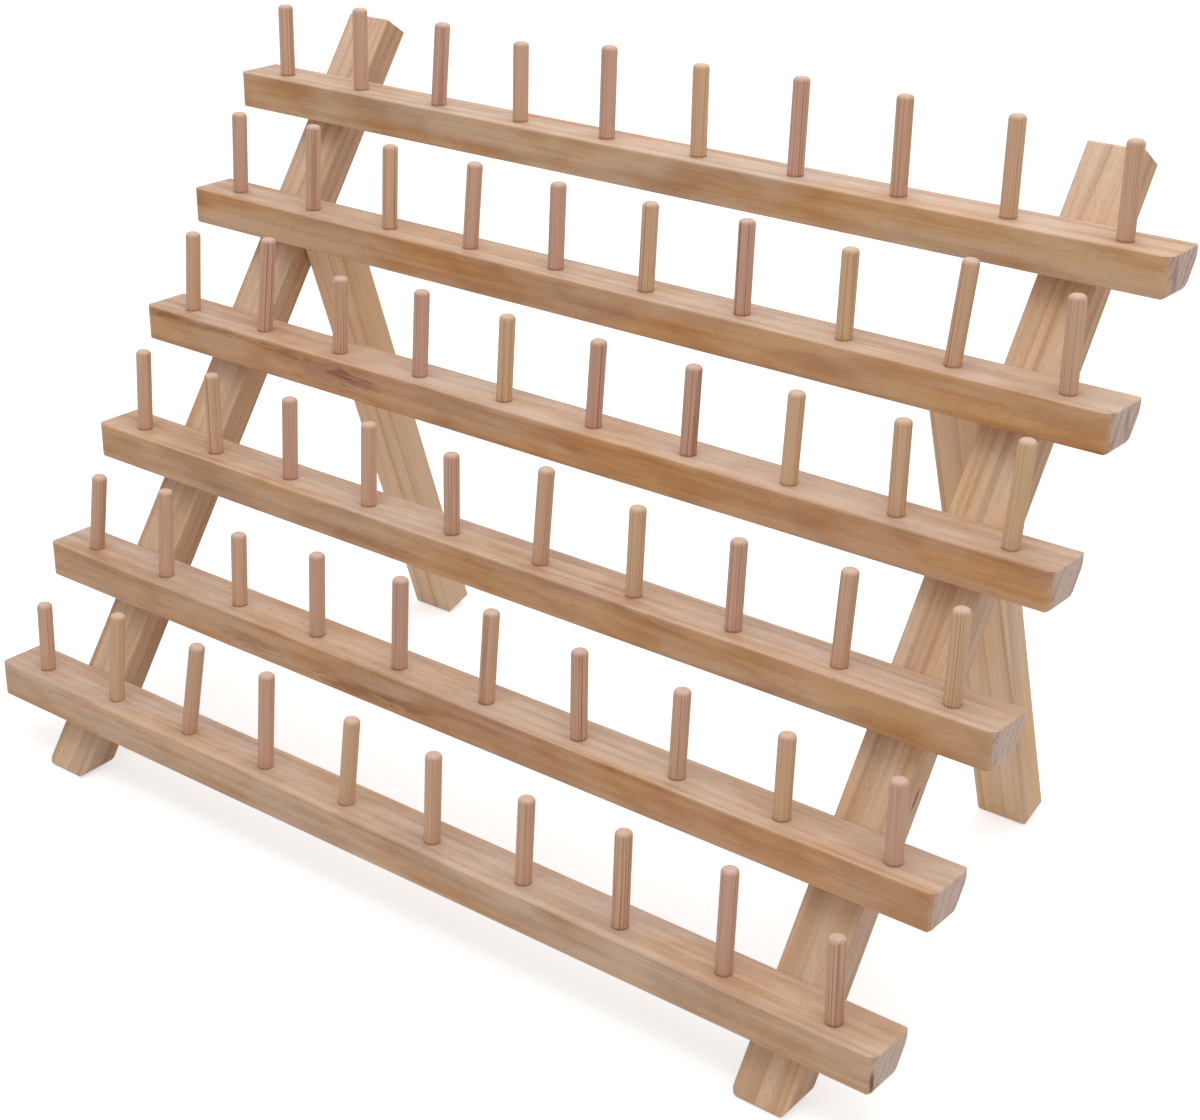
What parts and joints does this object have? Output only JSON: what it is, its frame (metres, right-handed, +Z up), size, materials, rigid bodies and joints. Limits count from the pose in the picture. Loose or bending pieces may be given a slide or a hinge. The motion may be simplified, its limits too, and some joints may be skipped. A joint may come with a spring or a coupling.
{
  "type": "thread rack",
  "caption": "Folding wooden thread rack: stepped rails of upright spool pegs across two leaning uprights, held up by two swing-out rear legs.",
  "frame": {"origin": "on the table, in the middle of the rectangle that the opened rack covers", "axes": "+X along the rails to the right as seen from the front, +Y from the front to the back, +Z up"},
  "size_m": [0.398, 0.1992, 0.2643],
  "materials": {
    "pine_rail": "planed and sanded pine, unvarnished",
    "pine_upright": "planed and sanded pine, unvarnished",
    "pine_leg": "planed pine, paler than the uprights",
    "dowel": "turned softwood dowel, sanded",
    "zinc_steel": "bright zinc plate",
    "yellow_zinc_screw": "yellow zinc plate"
  },
  "bodies": {
    "frame": {"left_upright": "pine_upright", "right_upright": "pine_upright", "rail_1": "pine_rail", "rail_2": "pine_rail", "rail_3": "pine_rail", "rail_4": "pine_rail", "rail_5": "pine_rail", "rail_6": "pine_rail", "peg_row_1": "dowel", "peg_row_2": "dowel", "peg_row_3": "dowel", "peg_row_4": "dowel", "peg_row_5": "dowel", "peg_row_6": "dowel", "left_pivot_bolt": "zinc_steel", "right_pivot_bolt": "zinc_steel", "left_pivot_washers": "zinc_steel", "right_pivot_washers": "zinc_steel", "left_pivot_nut": "zinc_steel", "right_pivot_nut": "zinc_steel", "left_rail_screws": "yellow_zinc_screw", "right_rail_screws": "yellow_zinc_screw"},
    "left_leg": {"left_rear_leg": "pine_leg"},
    "right_leg": {"right_rear_leg": "pine_leg"}
  },
  "joints": [
    {"name": "left_leg_fold", "type": "hinge", "parent": "frame", "child": "left_leg", "pos_m": [-0.1402, 0.04198, 0.17754], "axis": [-1, 0, 0], "range_deg": [0, 53]},
    {"name": "right_leg_fold", "type": "hinge", "parent": "frame", "child": "right_leg", "pos_m": [0.1402, 0.04198, 0.17754], "axis": [-1, 0, 0], "range_deg": [0, 53]}
  ]
}
